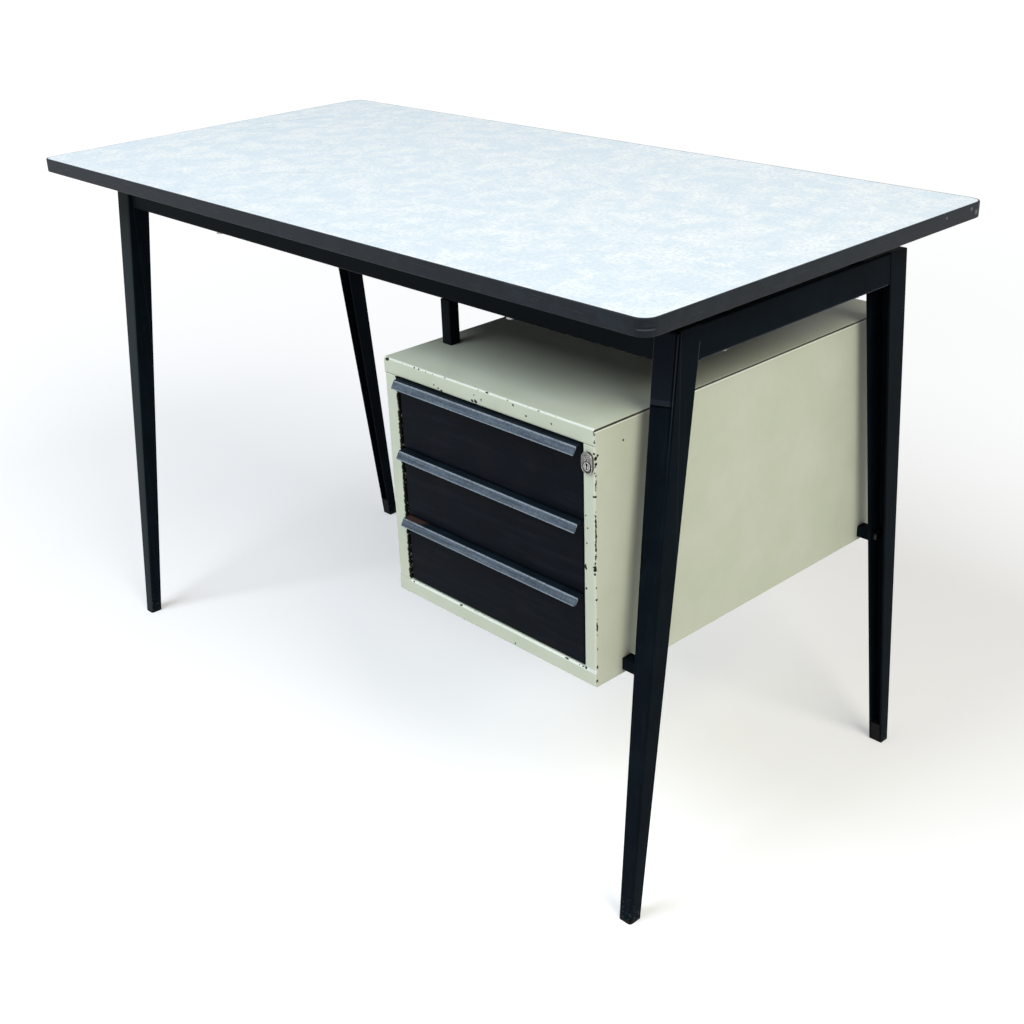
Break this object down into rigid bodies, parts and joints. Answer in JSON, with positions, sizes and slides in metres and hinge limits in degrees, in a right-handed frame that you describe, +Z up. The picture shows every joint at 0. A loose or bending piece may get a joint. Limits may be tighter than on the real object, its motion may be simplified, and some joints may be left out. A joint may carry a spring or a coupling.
{
  "type": "school desk",
  "caption": "School desk with a pale laminate top on a black folded-steel frame with splayed legs, and a hanging cream cabinet of lockable drawers.",
  "frame": {"origin": "middle of the desk's footprint, on the floor", "axes": "+X to the sitter's right, towards the cabinet; -Y towards the sitter; +Z up"},
  "size_m": [1.2, 0.6, 0.77],
  "materials": {
    "board": "raw chipboard",
    "laminate": "satin, mottled pale blue-white",
    "edge_band": "satin charcoal",
    "frame_black": "satin black stove enamel, worn",
    "cabinet_cream": "satin cream enamel, chipped at the edges",
    "front_black": "satin blue-black enamel",
    "handle_grey": "worn blue-grey enamel",
    "tray_grey": "dark grey enamel",
    "runner_steel": "zinc-plated",
    "nylon": "plain nylon",
    "glide_black": "moulded black plastic",
    "spacer_black": "black rubber",
    "fastener_steel": "zinc-plated",
    "lock_nickel": "worn nickel plate"
  },
  "bodies": {
    "desk": {"desktop_board": "board", "desktop_laminate": "laminate", "desktop_backing": "edge_band", "desktop_edge_band": "edge_band", "desktop_inserts": "fastener_steel", "desktop_spacers": "spacer_black", "desktop_screws": "fastener_steel", "leg_front_left": "frame_black", "leg_front_right": "frame_black", "leg_back_left": "frame_black", "leg_back_right": "frame_black", "rail_front": "frame_black", "rail_back": "frame_black", "rail_left": "frame_black", "rail_right": "frame_black", "hanger_post_front": "frame_black", "hanger_post_back": "frame_black", "leg_spacer_bars": "frame_black", "foot_glides": "glide_black", "hanger_bolts": "fastener_steel", "leg_spacer_bolts": "fastener_steel", "leg_spacer_nuts": "fastener_steel", "cabinet_top": "cabinet_cream", "cabinet_bottom": "cabinet_cream", "cabinet_side_left": "cabinet_cream", "cabinet_side_right": "cabinet_cream", "cabinet_back": "cabinet_cream", "cabinet_runners_left": "runner_steel", "cabinet_runners_right": "runner_steel", "cabinet_runner_pads": "nylon", "lock_housing": "lock_nickel", "lock_clip": "runner_steel", "lock_bar_guides": "runner_steel"},
    "top_drawer": {"drawer_top_front": "front_black", "drawer_top_handle": "handle_grey", "drawer_top_tray_bottom": "tray_grey", "drawer_top_tray_sides": "tray_grey", "drawer_top_tray_ends": "tray_grey", "drawer_top_slide_bars": "runner_steel", "drawer_top_glides": "nylon"},
    "middle_drawer": {"drawer_middle_front": "front_black", "drawer_middle_handle": "handle_grey", "drawer_middle_tray_bottom": "tray_grey", "drawer_middle_tray_sides": "tray_grey", "drawer_middle_tray_ends": "tray_grey", "drawer_middle_slide_bars": "runner_steel", "drawer_middle_glides": "nylon"},
    "bottom_drawer": {"drawer_bottom_front": "front_black", "drawer_bottom_handle": "handle_grey", "drawer_bottom_tray_bottom": "tray_grey", "drawer_bottom_tray_sides": "tray_grey", "drawer_bottom_tray_ends": "tray_grey", "drawer_bottom_slide_bars": "runner_steel", "drawer_bottom_glides": "nylon"},
    "lock_cylinder": {"lock_plug": "lock_nickel", "lock_cam": "runner_steel"},
    "locking_bar": {"lock_bar": "runner_steel"}
  },
  "joints": [
    {"name": "top_drawer_slide", "type": "slide", "parent": "desk", "child": "top_drawer", "axis": [0, -1, 0], "range_m": [0, 0.4]},
    {"name": "middle_drawer_slide", "type": "slide", "parent": "desk", "child": "middle_drawer", "axis": [0, -1, 0], "range_m": [0, 0.4]},
    {"name": "bottom_drawer_slide", "type": "slide", "parent": "desk", "child": "bottom_drawer", "axis": [0, -1, 0], "range_m": [0, 0.4]},
    {"name": "lock_turn", "type": "hinge", "parent": "desk", "child": "lock_cylinder", "pos_m": [0.5043, -0.28, 0.5882], "axis": [0, -1, 0], "range_deg": [0, 90]},
    {"name": "locking_bar_lift", "type": "slide", "parent": "desk", "child": "locking_bar", "axis": [0, 0, 1], "range_m": [0, 0.005]}
  ],
  "couplings": [
    {"joint": "lock_turn", "follows": "locking_bar_lift", "rad_per_m": 314.16}
  ]
}
